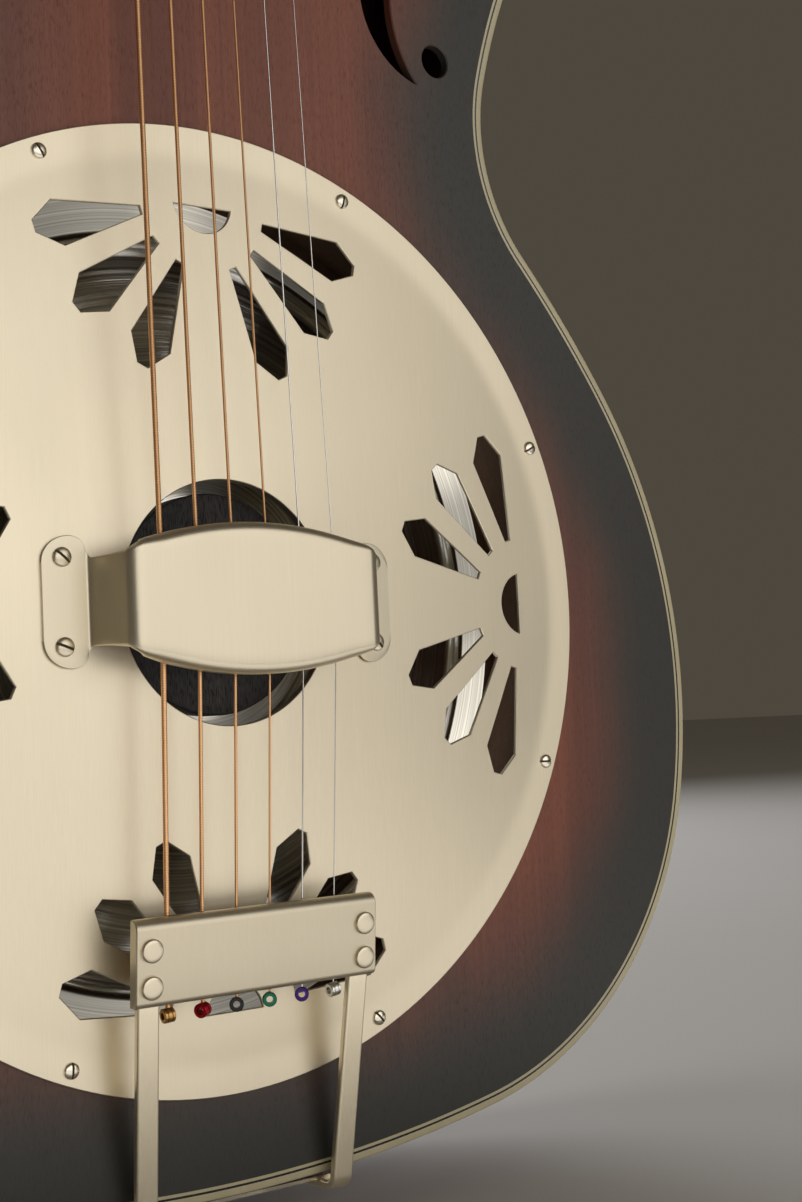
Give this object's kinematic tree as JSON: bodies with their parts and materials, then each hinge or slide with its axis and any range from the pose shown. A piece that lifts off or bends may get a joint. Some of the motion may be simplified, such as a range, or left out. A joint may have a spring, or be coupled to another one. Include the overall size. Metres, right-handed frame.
{
  "type": "resonator guitar",
  "caption": "Round-neck resonator guitar with a waisted wooden body, a perforated metal cover over a spun cone, curved sound holes, a palm rest, a strapped-on tailpiece and open geared tuners.",
  "frame": {"origin": "the middle of the footprint, at the height of the strap button that ends the body", "axes": "+Z runs along the strings from the tail to the head, -Y faces out of the top and the cover, +X is the treble side"},
  "size_m": [0.36, 0.11, 0.9633],
  "materials": {
    "burst_wood": "satin red-brown sunburst lacquer over laminated mahogany, shading to charcoal at the edges",
    "back_wood": "satin red-brown lacquer over laminated mahogany",
    "raw_wood": "unfinished softwood, sanded",
    "neck_wood": "satin red-brown lacquer over mahogany",
    "rosewood": "oiled dark rosewood, open grain",
    "veneer": "satin black-stained veneer",
    "biscuit_wood": "dark stained hard wood, grain along the strings",
    "saddle_wood": "hard maple, sanded",
    "cream_binding": "aged cream, polished",
    "nickel": "warm brushed nickel plate, brushed along the strings",
    "nickel_polished": "polished nickel plate",
    "cone_metal": "spun bare aluminium with fine concentric lines",
    "screw_metal": "nickel-plated",
    "steel": "bare steel",
    "bone": "bone, polished",
    "pearl": "pearl dots",
    "fret_wire": "polished nickel-silver",
    "bronze_wound": "phosphor-bronze wound round steel",
    "plain_steel": "bright plain steel wire",
    "ball_ends": "small spools, each anodised in its own colour",
    "black_plastic": "black, polished",
    "brass": "cut brass",
    "button_plastic": "aged cream, polished"
  },
  "bodies": {
    "guitar": {"body_top": "burst_wood", "body_back": "back_wood", "top_binding": "cream_binding", "back_binding": "cream_binding", "side_treble": "back_wood", "side_bass": "back_wood", "linings": "raw_wood", "neck_block": "raw_wood", "tail_block": "raw_wood", "sound_well": "raw_wood", "braces": "raw_wood", "resonator_cone": "cone_metal", "biscuit": "biscuit_wood", "saddle": "saddle_wood", "biscuit_screw": "steel", "cover_plate": "nickel", "cover_screws": "screw_metal", "palm_rest": "nickel", "palm_rest_screws": "screw_metal", "tailpiece_plate": "nickel", "tailpiece_straps": "nickel_polished", "tailpiece_bracket": "nickel_polished", "tailpiece_rivets": "screw_metal", "tailpiece_screws": "screw_metal", "strap_button": "nickel_polished", "strap_button_screw": "screw_metal", "neck": "neck_wood", "heel_cap": "cream_binding", "headstock_veneer": "veneer", "truss_rod": "steel", "truss_rod_cover": "black_plastic", "truss_cover_screws": "screw_metal", "fingerboard": "rosewood", "frets": "fret_wire", "fret_markers": "pearl", "nut": "bone", "wound_strings": "bronze_wound", "plain_strings": "plain_steel", "string_ball_ends": "ball_ends", "tuner_plates": "nickel_polished", "tuner_bushings": "nickel_polished", "tuner_screws": "screw_metal"},
    "key_1": {"tuner_key_1": "button_plastic"},
    "post_1": {"tuner_post_1": "nickel_polished", "tuner_gear_1": "brass"},
    "key_2": {"tuner_key_2": "button_plastic"},
    "post_2": {"tuner_post_2": "nickel_polished", "tuner_gear_2": "brass"},
    "key_3": {"tuner_key_3": "button_plastic"},
    "post_3": {"tuner_post_3": "nickel_polished", "tuner_gear_3": "brass"},
    "key_4": {"tuner_key_4": "button_plastic"},
    "post_4": {"tuner_post_4": "nickel_polished", "tuner_gear_4": "brass"},
    "key_5": {"tuner_key_5": "button_plastic"},
    "post_5": {"tuner_post_5": "nickel_polished", "tuner_gear_5": "brass"},
    "key_6": {"tuner_key_6": "button_plastic"},
    "post_6": {"tuner_post_6": "nickel_polished", "tuner_gear_6": "brass"}
  },
  "joints": [
    {"name": "tuner_key_1_turn", "type": "hinge", "parent": "guitar", "child": "key_1", "pos_m": [-0.024, 0.00121, 0.83467], "axis": [1, 0, 0], "continuous": true},
    {"name": "tuner_post_1_turn", "type": "hinge", "parent": "guitar", "child": "post_1", "pos_m": [-0.024, -0.01453, 0.84662], "axis": [0, -0.9692, 0.2464], "continuous": true},
    {"name": "tuner_key_2_turn", "type": "hinge", "parent": "guitar", "child": "key_2", "pos_m": [-0.024, 0.01057, 0.8715], "axis": [1, 0, 0], "continuous": true},
    {"name": "tuner_post_2_turn", "type": "hinge", "parent": "guitar", "child": "post_2", "pos_m": [-0.024, -0.00517, 0.88345], "axis": [0, -0.9692, 0.2464], "continuous": true},
    {"name": "tuner_key_3_turn", "type": "hinge", "parent": "guitar", "child": "key_3", "pos_m": [-0.024, 0.01994, 0.90833], "axis": [1, 0, 0], "continuous": true},
    {"name": "tuner_post_3_turn", "type": "hinge", "parent": "guitar", "child": "post_3", "pos_m": [-0.024, 0.00419, 0.92028], "axis": [0, -0.9692, 0.2464], "continuous": true},
    {"name": "tuner_key_4_turn", "type": "hinge", "parent": "guitar", "child": "key_4", "pos_m": [0.024, 0.01994, 0.90833], "axis": [1, 0, 0], "continuous": true},
    {"name": "tuner_post_4_turn", "type": "hinge", "parent": "guitar", "child": "post_4", "pos_m": [0.024, 0.00419, 0.92028], "axis": [0, -0.9692, 0.2464], "continuous": true},
    {"name": "tuner_key_5_turn", "type": "hinge", "parent": "guitar", "child": "key_5", "pos_m": [0.024, 0.01057, 0.8715], "axis": [1, 0, 0], "continuous": true},
    {"name": "tuner_post_5_turn", "type": "hinge", "parent": "guitar", "child": "post_5", "pos_m": [0.024, -0.00517, 0.88345], "axis": [0, -0.9692, 0.2464], "continuous": true},
    {"name": "tuner_key_6_turn", "type": "hinge", "parent": "guitar", "child": "key_6", "pos_m": [0.024, 0.00121, 0.83467], "axis": [1, 0, 0], "continuous": true},
    {"name": "tuner_post_6_turn", "type": "hinge", "parent": "guitar", "child": "post_6", "pos_m": [0.024, -0.01453, 0.84662], "axis": [0, -0.9692, 0.2464], "continuous": true}
  ],
  "couplings": [
    {"joint": "tuner_post_1_turn", "follows": "tuner_key_1_turn", "ratio": -0.0625},
    {"joint": "tuner_post_2_turn", "follows": "tuner_key_2_turn", "ratio": -0.0625},
    {"joint": "tuner_post_3_turn", "follows": "tuner_key_3_turn", "ratio": -0.0625},
    {"joint": "tuner_post_4_turn", "follows": "tuner_key_4_turn", "ratio": -0.0625},
    {"joint": "tuner_post_5_turn", "follows": "tuner_key_5_turn", "ratio": -0.0625},
    {"joint": "tuner_post_6_turn", "follows": "tuner_key_6_turn", "ratio": -0.0625}
  ]
}
